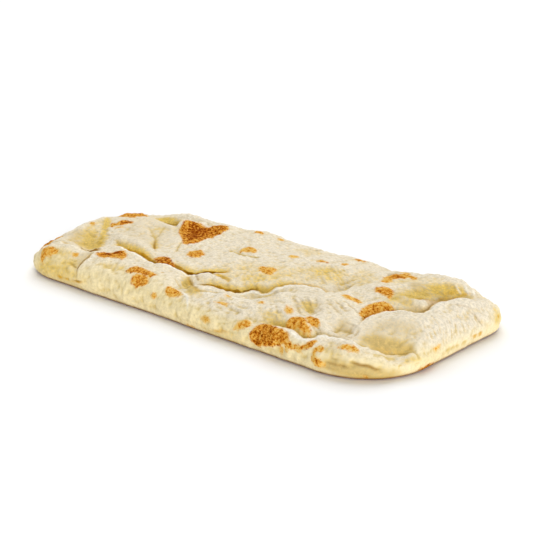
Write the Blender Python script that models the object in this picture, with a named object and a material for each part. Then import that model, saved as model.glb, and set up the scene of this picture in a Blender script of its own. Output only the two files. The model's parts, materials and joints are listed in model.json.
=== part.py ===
"""A rectangular pinsa base: one par-baked flatbread, lying on its flat baked underside.

Metres, +Z up. X runs along the bread and Y across it. The origin is the middle of the underside.
The dough has risen in pillows that meet in folds, inside a soft rounded rim. The top is the height
of a plain slab, with mounds added and folds cut in. The rim rolls it over to a flat underside.
"""

from collections import namedtuple

import bmesh
import bpy
import numpy as np

MM = 0.001

# Driving dimensions, in millimetres
LENGTH = 400.0
WIDTH = 175.0
THICKNESS = 27.0  # of the plain slab, before the mounds and folds
EQUATOR = 9.0  # height at which the side is widest
SHOULDER = 24.0  # how far in from the outline the top starts to fall away
UNDERCUT = 5.0  # how far the side pulls in below its widest line

# Corner radii, by the signs of x and y
CORNERS = {(-1, -1): 51.0, (1, -1): 55.0, (1, 1): 34.0, (-1, 1): 62.0}

# Mesh density
CELLS_LONG = 96
CELLS_WIDE = 42
RIM_INSET = 7.0  # where the top grid ends and the rolled side begins
RIM_RINGS = 3
UNDER_RINGS = 3
ROUTE_STEPS = 6  # pieces that each span of a fold's route is smoothed into

CRUST_COLOUR = (0.84, 0.73, 0.50, 1.0)
CRUST_ROUGHNESS = 0.8

# Broad rise or hollow: centre, half sizes, turn in degrees, height
Mound = namedtuple("Mound", "x y along across turn rise")
# Crease where two pillows meet: depth, widths of the shoulders on its right and left, route
Fold = namedtuple("Fold", "depth right left route")
# Stretch of the outline that stands out or in: centre, reach, push, direction in degrees
Bulge = namedtuple("Bulge", "x y reach push turn")

MOUNDS = {
    "corner lobe": Mound(-162, -72, 26, 18, 0, 1),
    "low left corner": Mound(-184, -70, 11, 12, 0, -7),
    "low left rim": Mound(-188, -46, 14, 16, 0, -8),
    "left bowl": Mound(-148, -42, 30, 14, -45, -9),
    "high left rim": Mound(-190, -4, 12, 22, 0, 5),
    "left plateau": Mound(-146, 16, 36, 20, 0, 5),
    "far left corner": Mound(-182, 34, 12, 12, 0, 2),
    "far left shoulder": Mound(-159, 62, 12, 12, 0, -3),
    "far left rim": Mound(-130, 74, 20, 10, 0, 3),
    "far left valley": Mound(-126, 45, 22, 11, 0, -10),
    "left heart bubble": Mound(-104, 38, 15, 14, 0, 8),
    "right heart bubble": Mound(-78, 50, 15, 12, 0, 5),
    "small bulge": Mound(-86, 0, 14, 10, 30, 3),
    "tongue": Mound(-104, -27, 30, 8, -12, 5),
    "near left pillow": Mound(-60, -66, 60, 12, 0, 1),
    "trough": Mound(-8, -60, 17, 9, -50, -7),
    "far rim": Mound(-42, 74, 14, 10, 0, 4),
    "low far rim, middle": Mound(29, 77, 12, 10, 0, -2),
    "back plateau": Mound(-10, 30, 80, 35, 0, 3),
    "low ground by the long crease": Mound(30, -50, 50, 12, 0, -5),
    "low near rim": Mound(40, -75, 40, 12, 0, -4),
    "dome": Mound(104, -28, 24, 16, 0, 5),
    "little dome": Mound(82, -47, 13, 11, 0, 3),
    "dome pit": Mound(111, -53, 9, 7, -30, -7),
    "before the near bubble": Mound(133, -75, 12, 9, 0, -4),
    "near rim crest": Mound(118, -82, 14, 8, 0, 3),
    "low near rim, right": Mound(88, -81, 16, 10, 0, -3),
    "near rim trough": Mound(110, -79, 30, 5, 0, -3),
    "near pit": Mound(144, -57, 11, 8, 0, -5),
    "far right valley": Mound(92, 15, 12, 28, 0, -5),
    "low far rim": Mound(84, 72, 30, 16, 0, -3),
    "far bubble": Mound(122, 14, 12, 10, 0, 3),
    "small ridge": Mound(154, 10, 14, 5, 10, 3),
    "right pillow": Mound(184, -14, 30, 32, 0, 4),
    "right pillow's far end": Mound(186, 38, 12, 20, -25, 6),
    "near right valley": Mound(177, -52, 30, 20, 50, -8),
    "low near right lobe": Mound(191, -52, 17, 13, 50, -5),
    "golden hollow": Mound(165, 46, 20, 15, 35, -11),
    "far right rim": Mound(134, 76, 34, 10, 0, 3),
    "far right corner": Mound(180, 80, 14, 14, 0, -7),
}

FOLDS = {
    "long crease": Fold(
        8, 8, 18, ((-131, -29), (-108, -38), (-86, -43), (-69, -46), (-45, -46), (-25, -44), (-11, -43))
    ),
    "crease end, far fork": Fold(4, 5, 8, ((-13, -43), (-8, -38), (-3, -32), (4, -25))),
    "crease end, near fork": Fold(3, 5, 8, ((-8, -37), (4, -36), (12, -36), (22, -40))),
    "plateau foot": Fold(
        8,
        8,
        20,
        ((1, -57), (13, -50), (29, -48), (38, -46), (42, -37), (52, -32), (57, -22), (66, -12), (80, -6))
        + ((92, -6), (95, 2), (92, 25)),
    ),
    "plateau lip": Fold(
        5, 5, 7, ((12, -70), (26, -64), (40, -60), (52, -57), (62, -53), (70, -45), (66, -30))
    ),
    "behind the corner lobe": Fold(
        6, 6, 12, ((-172, -66), (-150, -62), (-133, -63), (-120, -61), (-110, -58))
    ),
    "rim notch": Fold(9, 6, 6, ((-117, -57), (-112, -64), (-109, -74), (-108, -85))),
    "behind the left plateau": Fold(
        7, 5, 14, ((-162, 44), (-143, 37), (-124, 28), (-110, 26), (-109, 34), (-116, 44))
    ),
    "behind the heart": Fold(
        6, 5, 8, ((-116, 40), (-121, 53), (-116, 60), (-102, 56), (-88, 47), (-93, 57), (-90, 68))
    ),
    "forked crease": Fold(5, 6, 6, ((-137, 15), (-117, 4), (-104, -4), (-90, -18), (-74, -32))),
    "forked crease, branch": Fold(3, 5, 5, ((-102, -5), (-109, 5), (-118, 20))),
    "short crease": Fold(2.5, 4, 4, ((-64, -18), (-73, -5), (-77, 4))),
    "plateau groove": Fold(2.5, 5, 5, ((-34, 14), (-20, 11), (-8, 9), (6, 12))),
    "between the domes": Fold(5, 6, 6, ((80, -38), (97, -50), (113, -62))),
    "behind the near rim": Fold(
        6,
        6,
        12,
        ((84, -74), (100, -75), (116, -77), (131, -78), (138, -71), (147, -69), (158, -67), (169, -63))
        + ((178, -59),),
    ),
    "behind the right pillow": Fold(
        8,
        8,
        16,
        ((151, -48), (147, -30), (147, -15), (156, -4), (171, 4), (172, 18), (174, 31), (182, 43))
        + ((190, 53),),
    ),
    "behind the right lobe": Fold(5, 6, 20, ((172, -63), (178, -58), (184, -50), (190, -44), (196, -40))),
    "far notch, right": Fold(7, 6, 6, ((104, 50), (103, 64), (104, 80))),
    "far notch, middle": Fold(6, 6, 6, ((18, 60), (23, 70), (25, 84))),
    "far notch, left": Fold(3, 6, 6, ((-76, 66), (-74, 74), (-74, 84))),
}

BULGES = (
    Bulge(145, 87, 32, 2.5, 90),
    Bulge(102, 87, 14, -3.5, 90),
    Bulge(50, 87, 26, 2.0, 90),
    Bulge(-74, 87, 12, -2.0, 90),
    Bulge(-12, -87, 30, -1.0, 270),
)

FADE_POWER = 4  # keeps a fold near its full depth until close to its ends
FAR_AWAY = 1e9


def corner_radius(x, y):
    """Radius of the corner in each point's quarter of the plan."""
    radius = np.zeros_like(x)
    for (east, north), size in CORNERS.items():
        radius = np.where((x * east >= 0) & (y * north >= 0), size, radius)
    return radius


def inset_from_outline(x, y):
    """How far a point lies inside the rounded rectangle."""
    radius = corner_radius(x, y)
    past_x = np.abs(x) - (LENGTH / 2 - radius)
    past_y = np.abs(y) - (WIDTH / 2 - radius)
    outside = np.hypot(np.maximum(past_x, 0.0), np.maximum(past_y, 0.0))
    inside = np.minimum(np.maximum(past_x, past_y), 0.0)
    return radius - outside - inside


def outward(x, y):
    """Unit direction away from the middle, square to the outline's straight sides and corner arcs."""
    radius = corner_radius(x, y)
    past_x = np.sign(x) * np.maximum(np.abs(x) - (LENGTH / 2 - radius), 0.0)
    past_y = np.sign(y) * np.maximum(np.abs(y) - (WIDTH / 2 - radius), 0.0)
    size = np.hypot(past_x, past_y)
    return past_x / size, past_y / size


def rounded_plan(u, v, inset):
    """Maps the square -1..1 onto the outline moved in by the inset."""
    radius = corner_radius(u, v) - inset
    half_long = LENGTH / 2 - inset
    half_wide = WIDTH / 2 - inset
    x = u * half_long
    y = v * half_wide
    past_x = np.maximum(np.abs(x) - (half_long - radius), 0.0)
    past_y = np.maximum(np.abs(y) - (half_wide - radius), 0.0)
    round_x = past_x * np.sqrt(1.0 - past_y**2 / (2.0 * radius**2))
    round_y = past_y * np.sqrt(1.0 - past_x**2 / (2.0 * radius**2))
    return x + np.sign(x) * (round_x - past_x), y + np.sign(y) * (round_y - past_y)


def mound_height(x, y, mound):
    """A smooth bell over the mound's ellipse."""
    turn = np.radians(mound.turn)
    east = x - mound.x
    north = y - mound.y
    along = (east * np.cos(turn) + north * np.sin(turn)) / mound.along
    across = (north * np.cos(turn) - east * np.sin(turn)) / mound.across
    return mound.rise * np.exp(-(along**2) - across**2)


def smooth_route(points):
    """A Catmull-Rom curve through the points, as short straight pieces."""
    points = np.array(points, float)
    padded = np.vstack([2 * points[0] - points[1], points, 2 * points[-1] - points[-2]])
    steps = np.arange(ROUTE_STEPS)[:, None] / ROUTE_STEPS
    spans = []
    for before, start, end, after in zip(padded, padded[1:], padded[2:], padded[3:]):
        speed = 0.5 * (end - before)
        end_speed = 0.5 * (after - start)
        bend = 3 * (end - start) - 2 * speed - end_speed
        twist = 2 * (start - end) + speed + end_speed
        spans.append(start + steps * speed + steps**2 * bend + steps**3 * twist)
    return np.vstack(spans + [points[-1:]])


def fold_depth(x, y, fold):
    """How far the fold cuts into the top: two round shoulders that meet in a sharp valley."""
    route = smooth_route(fold.route)
    lengths = np.hypot(*np.diff(route, axis=0).T)
    nearest = np.full_like(x, FAR_AWAY)
    shoulder = np.ones_like(x)
    share = np.zeros_like(x)
    passed = 0.0
    for start, end, length in zip(route, route[1:], lengths):
        east, north = (end - start) / length
        along = np.clip((x - start[0]) * east + (y - start[1]) * north, 0.0, length)
        off_x = x - start[0] - along * east
        off_y = y - start[1] - along * north
        distance = np.hypot(off_x, off_y)
        closer = distance < nearest
        is_left = off_y * east - off_x * north > 0
        nearest = np.where(closer, distance, nearest)
        shoulder = np.where(closer, np.where(is_left, fold.left, fold.right), shoulder)
        share = np.where(closer, (passed + along) / lengths.sum(), share)
        passed += length
    fade = 1.0 - (2.0 * share - 1.0) ** FADE_POWER
    closeness = 1.0 - np.clip(nearest / shoulder, 0.0, 1.0)
    return fold.depth * fade * (1.0 - np.sqrt(1.0 - closeness**2))


def crown(x, y):
    """Height of the top before the rim rounds it off."""
    height = np.full_like(x, THICKNESS)
    for mound in MOUNDS.values():
        height += mound_height(x, y, mound)
    for fold in FOLDS.values():
        height -= fold_depth(x, y, fold)
    return height


def top_height(x, y):
    """Height of the top surface, falling to the equator at the outline."""
    inset = np.clip(inset_from_outline(x, y) / SHOULDER, 0.0, 1.0)
    roundness = np.sqrt(1.0 - (1.0 - inset) ** 2)
    return EQUATOR + (crown(x, y) - EQUATOR) * roundness


def plan_of(verts):
    return np.array([vert.co.x for vert in verts]), np.array([vert.co.y for vert in verts])


def place(verts, x, y, heights):
    for vert, east, north, height in zip(verts, x, y, heights):
        vert.co = (east, north, height)


def new_top(bm):
    """The top as a grid, out to where the side begins. Returns its open edge."""
    bmesh.ops.create_grid(bm, x_segments=CELLS_LONG, y_segments=CELLS_WIDE, size=1.0)
    x, y = rounded_plan(*plan_of(bm.verts), RIM_INSET)
    place(bm.verts, x, y, top_height(x, y))
    return [edge for edge in bm.edges if edge.is_boundary]


def roll_ring(bm, edge, step, height_at):
    """Extrudes the open edge by one ring, moved outwards by the step, at the height that a function gives."""
    made = bmesh.ops.extrude_edge_only(bm, edges=edge)["geom"]
    verts = [item for item in made if isinstance(item, bmesh.types.BMVert)]
    x, y = plan_of(verts)
    east, north = outward(x, y)
    x += east * step
    y += north * step
    place(verts, x, y, height_at(x, y))
    return [item for item in made if isinstance(item, bmesh.types.BMEdge)]


def roll_side(bm, edge):
    """The side from the top's edge out to the equator and back in to the underside."""
    inset = RIM_INSET
    for ring in range(1, RIM_RINGS + 1):
        target = RIM_INSET * (1.0 - ring / RIM_RINGS) ** 2
        edge = roll_ring(bm, edge, inset - target, top_height)
        inset = target
    for ring in range(1, UNDER_RINGS + 1):
        angle = np.pi / 2 * ring / UNDER_RINGS
        target = UNDERCUT * (1.0 - np.cos(angle))
        height = EQUATOR * (1.0 - np.sin(angle))
        edge = roll_ring(bm, edge, inset - target, lambda x, y: np.full_like(x, height))
        inset = target
    return edge


def push_outline(bm):
    """Makes the outline uneven, then puts the origin back under the middle."""
    x, y = plan_of(bm.verts)
    moved_x = x.copy()
    moved_y = y.copy()
    for bulge in BULGES:
        push = bulge.push * np.exp(-(np.hypot(x - bulge.x, y - bulge.y) ** 2) / bulge.reach**2)
        moved_x += push * np.cos(np.radians(bulge.turn))
        moved_y += push * np.sin(np.radians(bulge.turn))
    moved_x -= (moved_x.max() + moved_x.min()) / 2
    moved_y -= (moved_y.max() + moved_y.min()) / 2
    place(bm.verts, moved_x, moved_y, [vert.co.z for vert in bm.verts])


def new_bread_mesh():
    """Top, rolled side and flat underside as one closed mesh."""
    bm = bmesh.new()
    edge = roll_side(bm, new_top(bm))
    bmesh.ops.contextual_create(bm, geom=edge)
    push_outline(bm)
    bmesh.ops.recalc_face_normals(bm, faces=bm.faces)
    bmesh.ops.scale(bm, vec=(MM, MM, MM), verts=bm.verts)
    mesh = bpy.data.meshes.new("pinsa_base")
    bm.to_mesh(mesh)
    bm.free()
    mesh.shade_smooth()
    return mesh


def crust_material():
    material = bpy.data.materials.new("crust")
    material.use_nodes = True
    shader = material.node_tree.nodes["Principled BSDF"]
    shader.inputs["Base Color"].default_value = CRUST_COLOUR
    shader.inputs["Roughness"].default_value = CRUST_ROUGHNESS
    return material


def main():
    for obj in list(bpy.data.objects):
        bpy.data.objects.remove(obj)
    mesh = new_bread_mesh()
    mesh.materials.append(crust_material())
    bread = bpy.data.objects.new("pinsa_base", mesh)
    bpy.context.scene.collection.objects.link(bread)


main()
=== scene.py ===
"""The looks of a rectangular pinsa base: a par-baked flatbread on a pale floor."""

import json
from collections import namedtuple

import bmesh
import bpy
import numpy as np
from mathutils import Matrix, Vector, noise

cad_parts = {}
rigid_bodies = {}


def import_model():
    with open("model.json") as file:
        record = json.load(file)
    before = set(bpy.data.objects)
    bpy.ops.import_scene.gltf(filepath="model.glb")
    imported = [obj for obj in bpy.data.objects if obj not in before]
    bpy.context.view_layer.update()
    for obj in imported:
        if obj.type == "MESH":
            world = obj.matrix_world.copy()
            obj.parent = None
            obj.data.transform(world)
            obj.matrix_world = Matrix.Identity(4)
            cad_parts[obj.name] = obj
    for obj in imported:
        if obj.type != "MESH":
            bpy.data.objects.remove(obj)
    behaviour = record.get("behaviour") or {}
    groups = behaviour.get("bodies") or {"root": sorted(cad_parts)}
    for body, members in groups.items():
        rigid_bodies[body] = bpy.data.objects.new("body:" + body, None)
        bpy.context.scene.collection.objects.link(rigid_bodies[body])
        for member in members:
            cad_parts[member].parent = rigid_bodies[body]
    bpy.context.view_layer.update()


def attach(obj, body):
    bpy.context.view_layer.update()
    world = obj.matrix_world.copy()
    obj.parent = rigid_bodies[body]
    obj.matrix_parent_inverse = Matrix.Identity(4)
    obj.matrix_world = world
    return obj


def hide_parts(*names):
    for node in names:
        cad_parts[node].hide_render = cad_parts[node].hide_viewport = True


for leftover in list(bpy.data.objects):
    bpy.data.objects.remove(leftover)
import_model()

MM = 0.001

# ---- The bread's form, in millimetres ----

LENGTH = 400.0
WIDTH = 175.0
THICKNESS = 27.0  # of the plain slab, before the mounds and folds
EQUATOR = 9.0  # height at which the side is widest
SHOULDER = 24.0  # how far in from the outline the top starts to fall away
UNDERCUT = 5.0  # how far the side pulls in below its widest line
CORNERS = {(-1, -1): 51.0, (1, -1): 55.0, (1, 1): 34.0, (-1, 1): 62.0}  # radii, by signs of x and y

CELLS_LONG = 400
CELLS_WIDE = 176
RIM_INSET = 7.0  # where the top grid ends and the rolled side begins
RIM_RINGS = 13
UNDER_RINGS = 7
ROUTE_STEPS = 8

# Broad rise or hollow: centre, half sizes, turn in degrees, height
Mound = namedtuple("Mound", "x y along across turn rise")
# Crease where two pillows meet: depth, widths of the shoulders on its right and left, route
Fold = namedtuple("Fold", "depth right left route")
# Stretch of the outline that stands out or in: centre, reach, push, direction in degrees
Bulge = namedtuple("Bulge", "x y reach push turn")

MOUNDS = {
    "corner lobe": Mound(-162, -72, 26, 18, 0, 1),
    "lobe's outer end": Mound(-178, -66, 14, 9, -30, -5),
    "lobe's inner end": Mound(-138, -70, 12, 9, 0, 2),
    "low left corner": Mound(-184, -70, 11, 12, 0, -7),
    "low left rim": Mound(-188, -46, 14, 16, 0, -5),
    "left bowl": Mound(-148, -42, 30, 14, -45, -9),
    "high left rim": Mound(-190, -4, 12, 22, 0, 5),
    "left plateau": Mound(-146, 16, 36, 20, 0, 5),
    "far left corner": Mound(-182, 34, 12, 12, 0, 2),
    "far left shoulder": Mound(-159, 62, 12, 12, 0, -3),
    "far left rim": Mound(-130, 74, 20, 10, 0, 3),
    "far left valley": Mound(-126, 45, 22, 11, 0, -10),
    "left heart bubble": Mound(-104, 38, 15, 14, 0, 9.2),
    "right heart bubble": Mound(-78, 50, 15, 12, 0, 5.6),
    "small bulge": Mound(-86, 0, 14, 10, 30, 3),
    "tongue": Mound(-104, -27, 30, 8, -12, 5),
    "near left pillow": Mound(-60, -66, 60, 12, 0, 1),
    "crest by the long crease": Mound(-88, -49, 26, 6, -12, 2.2),
    "end of that crest": Mound(-30, -52, 16, 6, 0, 2.2),
    "ground at the fork": Mound(-10, -47, 11, 8, 20, 3),
    "trough": Mound(-8, -60, 17, 9, -50, -6),
    "far rim": Mound(-42, 74, 14, 10, 0, 4),
    "low far rim, middle": Mound(29, 77, 12, 10, 0, -2),
    "back plateau": Mound(-10, 30, 80, 35, 0, 3),
    "low ground by the long crease": Mound(30, -50, 50, 12, 0, -5),
    "low near rim": Mound(40, -75, 40, 12, 0, -4),
    "low ground before the plateau": Mound(57, -38, 13, 8, 40, -5.5),
    "dome": Mound(104, -28, 24, 16, 0, 4),
    "low left side of the dome": Mound(71, -26, 10, 8, 30, -3.5),
    "little dome": Mound(82, -47, 13, 11, 0, 3),
    "dome pit": Mound(110, -51, 10, 8, -30, -2.6),
    "before the near bubble": Mound(133, -75, 12, 9, 0, -4),
    "near rim crest": Mound(118, -82, 14, 8, 0, 3),
    "low near rim, right": Mound(88, -81, 16, 10, 0, -3),
    "near rim trough": Mound(110, -79, 30, 5, 0, -3),
    "near pit": Mound(144, -57, 11, 8, 0, -5),
    "far right valley": Mound(92, 15, 12, 28, 0, -5),
    "low far rim": Mound(84, 72, 30, 16, 0, -3),
    "far bubble": Mound(122, 14, 12, 10, 0, 3),
    "small ridge": Mound(154, 10, 14, 5, 10, 3),
    "end of the small ridge": Mound(167, 14, 7, 9, 0, 3.2),
    "right pillow": Mound(184, -14, 30, 32, 0, 4),
    "right pillow's far end": Mound(186, 38, 12, 20, -25, 5),
    "dip in the right pillow": Mound(170, -2, 13, 11, 0, -4),
    "left edge of that dip": Mound(155, -15, 9, 9, 0, -3.2),
    "near right valley": Mound(177, -52, 30, 20, 50, -8),
    "low near right lobe": Mound(191, -52, 17, 13, 50, -6.3),
    "golden hollow": Mound(165, 46, 20, 15, 35, -11),
    "far right rim": Mound(134, 76, 34, 10, 0, 3),
    "far right corner": Mound(180, 80, 14, 14, 0, -7),
    "far right bubble": Mound(155, 76, 10, 8, 0, 2),
    "far rim, by the notch": Mound(90, 78, 6, 10, 0, -3),
    "far rim, middle": Mound(15, 79, 7, 8, 0, -2.5),
    "far rim, left of middle": Mound(-3, 74, 9, 8, 0, -2),
    "far rim, behind the plateau": Mound(-41, 73, 10, 8, 0, -2),
    "far left rim, end": Mound(-172, 52, 8, 9, 0, -1.5),
    "far left rim, middle": Mound(-185, 18, 8, 9, 0, -2.5),
}

FOLDS = {
    "long crease": Fold(5, 8, 18, (
        (-131, -29), (-108, -38), (-86, -43), (-69, -46), (-45, -47), (-25, -46), (-15, -44), (-9, -39),
        (-2, -31), (6, -23)
    )),
    "crease end, near fork": Fold(2, 5, 8, ((-8, -37), (4, -36), (12, -36), (22, -40))),
    "plateau foot": Fold(6, 8, 20, (
        (1, -57), (13, -50), (29, -48), (38, -46), (42, -37), (52, -32), (57, -22), (66, -12), (80, -6),
        (92, -6), (95, 2), (92, 25)
    )),
    "plateau lip": Fold(5, 5, 7, (
        (12, -70), (26, -64), (40, -60), (52, -57), (62, -53), (70, -45), (66, -30)
    )),
    "behind the corner lobe": Fold(6, 6, 12, (
        (-172, -66), (-150, -62), (-133, -63), (-120, -61), (-110, -58)
    )),
    "rim notch": Fold(6, 4, 11, ((-108, -88), (-110, -79), (-111, -72), (-114, -64))),
    "behind the left plateau": Fold(7, 5, 14, (
        (-162, 44), (-143, 37), (-124, 28), (-110, 26), (-109, 34), (-116, 44)
    )),
    "behind the heart": Fold(6, 5, 8, (
        (-116, 40), (-121, 53), (-116, 60), (-102, 56), (-88, 47), (-93, 57), (-90, 68)
    )),
    "forked crease": Fold(1.9, 9, 9, ((-137, 15), (-117, 4), (-104, -4), (-90, -18), (-71, -34))),
    "forked crease, branch": Fold(1.0, 8, 8, ((-102, -5), (-109, 5), (-118, 20))),
    "short crease": Fold(1.8, 4, 4, ((-64, -18), (-73, -5), (-77, 4))),
    "plateau groove": Fold(2.5, 5, 5, ((-34, 14), (-20, 11), (-8, 9), (6, 12))),
    "between the domes": Fold(1.1, 6, 6, ((80, -38), (97, -50), (113, -62))),
    "behind the near rim": Fold(6, 6, 12, (
        (84, -74), (100, -75), (116, -77), (131, -78), (138, -71), (147, -69), (158, -67), (169, -63),
        (178, -59)
    )),
    "behind the right pillow": Fold(6.5, 8, 16, (
        (151, -48), (147, -30), (147, -15), (156, -4), (171, 4), (172, 18), (174, 31), (182, 43),
        (190, 53)
    )),
    "behind the right lobe": Fold(5, 6, 20, (
        (172, -63), (178, -58), (184, -50), (190, -44), (196, -40)
    )),
    "far notch, right": Fold(5, 8, 8, ((104, 50), (103, 64), (104, 80))),
    "far notch, middle": Fold(6, 6, 6, ((18, 60), (23, 70), (25, 84))),
    "far notch, left": Fold(3, 6, 6, ((-76, 66), (-74, 74), (-74, 84))),
}

BULGES = (
    Bulge(145, 87, 32, 2.5, 90),
    Bulge(102, 87, 14, -3.5, 90),
    Bulge(50, 87, 26, 2.0, 90),
    Bulge(-74, 87, 12, -2.0, 90),
    Bulge(-12, -87, 30, -1.0, 270),
)

FADE_POWER = 4  # keeps a fold near its full depth until close to its ends
FAR_AWAY = 1e9  # farther than any distance on the bread
TINY = 1e-6
FAINT = 1e-9  # share of no browning, which tells only far from all browned patches
ARC_STEPS = 200  # for the length of the rolled side


# ---- Shape ----


def corner_radius(x, y):
    """Radius of the corner in each point's quarter of the plan."""
    radius = np.zeros_like(x)
    for (east, north), size in CORNERS.items():
        radius = np.where((x * east >= 0) & (y * north >= 0), size, radius)
    return radius


def past_corner(x, y, radius, inset=0.0):
    """How far each point lies past the middle of its corner's arc, along x and y."""
    return np.abs(x) - (LENGTH / 2 - inset - radius), np.abs(y) - (WIDTH / 2 - inset - radius)


def inset_from_outline(x, y):
    """How far a point lies inside the rounded rectangle."""
    radius = corner_radius(x, y)
    past_x, past_y = past_corner(x, y, radius)
    round_the_corner = np.hypot(np.maximum(past_x, 0.0), np.maximum(past_y, 0.0))
    short_of_it = np.minimum(np.maximum(past_x, past_y), 0.0)
    return radius - round_the_corner - short_of_it


def outward(x, y):
    """Unit direction away from the middle, square to the outline's straight sides and corner arcs."""
    past_x, past_y = past_corner(x, y, corner_radius(x, y))
    east = np.sign(x) * np.maximum(past_x, 0.0)
    north = np.sign(y) * np.maximum(past_y, 0.0)
    size = np.maximum(np.hypot(east, north), TINY)
    return east / size, north / size


def rounded_plan(u, v, inset):
    """Maps the square -1..1 onto the outline moved in by the inset."""
    radius = corner_radius(u, v) - inset
    x = u * (LENGTH / 2 - inset)
    y = v * (WIDTH / 2 - inset)
    past_x, past_y = np.maximum(past_corner(x, y, radius, inset), 0.0)
    round_x = past_x * np.sqrt(1.0 - past_y**2 / (2.0 * radius**2))
    round_y = past_y * np.sqrt(1.0 - past_x**2 / (2.0 * radius**2))
    return x + np.sign(x) * (round_x - past_x), y + np.sign(y) * (round_y - past_y)


def turned(east, north, degrees):
    """Distances along and across a direction that is turned from +x."""
    turn = np.radians(degrees)
    return east * np.cos(turn) + north * np.sin(turn), north * np.cos(turn) - east * np.sin(turn)


def mound_height(x, y, mound):
    """A smooth bell over the mound's ellipse."""
    along, across = turned(x - mound.x, y - mound.y, mound.turn)
    return mound.rise * np.exp(-((along / mound.along) ** 2) - (across / mound.across) ** 2)


def smooth_route(points):
    """A Catmull-Rom curve through the points, as short straight pieces."""
    points = np.array(points, float)
    padded = np.vstack([2 * points[0] - points[1], points, 2 * points[-1] - points[-2]])
    steps = np.arange(ROUTE_STEPS)[:, None] / ROUTE_STEPS
    spans = []
    for before, start, end, after in zip(padded, padded[1:], padded[2:], padded[3:]):
        speed = 0.5 * (end - before)
        end_speed = 0.5 * (after - start)
        bend = 3 * (end - start) - 2 * speed - end_speed
        twist = 2 * (start - end) + speed + end_speed
        spans.append(start + steps * speed + steps**2 * bend + steps**3 * twist)
    return np.vstack(spans + [points[-1:]])


def beside_route(x, y, points, reach):
    """For the points near a route: which they are, their distance (left is positive), share along it
    and the direction to its left.
    """
    route = smooth_route(points)
    low = route.min(axis=0) - reach
    high = route.max(axis=0) + reach
    near = np.flatnonzero((x > low[0]) & (x < high[0]) & (y > low[1]) & (y < high[1]))
    east_of = x[near]
    north_of = y[near]
    lengths = np.hypot(*np.diff(route, axis=0).T)
    nearest = np.full(len(near), FAR_AWAY)
    side = np.ones(len(near))
    share = np.zeros(len(near))
    left = np.zeros((2, len(near)))
    passed = 0.0
    for start, end, length in zip(route, route[1:], lengths):
        east, north = (end - start) / length
        along = np.clip((east_of - start[0]) * east + (north_of - start[1]) * north, 0.0, length)
        off_x = east_of - start[0] - along * east
        off_y = north_of - start[1] - along * north
        distance = np.hypot(off_x, off_y)
        closer = distance < nearest
        nearest = np.where(closer, distance, nearest)
        side = np.where(closer, np.where(off_y * east - off_x * north > 0, 1.0, -1.0), side)
        share = np.where(closer, (passed + along) / lengths.sum(), share)
        left = np.where(closer, np.array([[-north], [east]]), left)
        passed += length
    return near, nearest * side, share, left


def end_fade(share):
    """1 along the middle of a route, 0 at both its ends."""
    return 1.0 - (2.0 * share - 1.0) ** FADE_POWER


def fold_depth(x, y, fold):
    """How far the fold cuts into the top: two round shoulders that meet in a sharp valley."""
    depth = np.zeros_like(x)
    near, distance, share, _ = beside_route(x, y, fold.route, max(fold.right, fold.left))
    shoulder = np.where(distance > 0, fold.left, fold.right)
    closeness = 1.0 - np.clip(np.abs(distance) / shoulder, 0.0, 1.0)
    depth[near] = fold.depth * end_fade(share) * (1.0 - np.sqrt(1.0 - closeness**2))
    return depth


def crown(x, y):
    """Height of the top before the rim rounds it off."""
    height = np.full_like(x, THICKNESS)
    for mound in MOUNDS.values():
        height += mound_height(x, y, mound)
    for fold in FOLDS.values():
        height -= fold_depth(x, y, fold)
    return height


def top_height(x, y):
    """Height of the top surface, falling to the equator at the outline."""
    inset = np.clip(inset_from_outline(x, y) / SHOULDER, 0.0, 1.0)
    roundness = np.sqrt(1.0 - (1.0 - inset) ** 2)
    return EQUATOR + (crown(x, y) - EQUATOR) * roundness


def plan_of(verts):
    """Where the vertices lie, seen from above."""
    return np.array([vert.co.x for vert in verts]), np.array([vert.co.y for vert in verts])


def place(verts, x, y, heights):
    """Moves each vertex to its new spot."""
    for vert, east, north, height in zip(verts, x, y, heights):
        vert.co = (east, north, height)


def roll_ring(bm, edge, step, height_at):
    """Extrudes the open edge by one ring, moved outwards by the step, at the height that a function gives."""
    made = bmesh.ops.extrude_edge_only(bm, edges=edge)["geom"]
    verts = [item for item in made if isinstance(item, bmesh.types.BMVert)]
    x, y = plan_of(verts)
    east, north = outward(x, y)
    x += east * step
    y += north * step
    place(verts, x, y, height_at(x, y))
    return [item for item in made if isinstance(item, bmesh.types.BMEdge)]


def slab():
    """Top, rolled side and flat underside as one closed bmesh."""
    bm = bmesh.new()
    bmesh.ops.create_grid(bm, x_segments=CELLS_LONG, y_segments=CELLS_WIDE, size=1.0)
    x, y = rounded_plan(*plan_of(bm.verts), RIM_INSET)
    place(bm.verts, x, y, top_height(x, y))
    edge = [item for item in bm.edges if item.is_boundary]
    inset = RIM_INSET
    for ring in range(1, RIM_RINGS + 1):
        target = RIM_INSET * (1.0 - ring / RIM_RINGS) ** 2
        edge = roll_ring(bm, edge, inset - target, top_height)
        inset = target
    for ring in range(1, UNDER_RINGS + 1):
        angle = np.pi / 2 * ring / UNDER_RINGS
        target = UNDERCUT * (1.0 - np.cos(angle))
        height = EQUATOR * (1.0 - np.sin(angle))
        edge = roll_ring(bm, edge, inset - target, lambda x, y: np.full_like(x, height))
        inset = target
    base = bmesh.ops.contextual_create(bm, geom=edge)["faces"]
    bmesh.ops.recalc_face_normals(bm, faces=bm.faces)
    for face in bm.faces:
        face.smooth = face not in base
    return bm


def side_length(depth, reach, angle):
    """Length along a quarter ellipse, from its widest line to the angle."""
    angles = np.linspace(0.0, np.pi / 2, ARC_STEPS)
    pieces = np.hypot(depth * np.sin(angles), reach * np.cos(angles)) * (angles[1] - angles[0])
    return np.interp(angle, angles, np.cumsum(pieces) - pieces[0])


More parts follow.
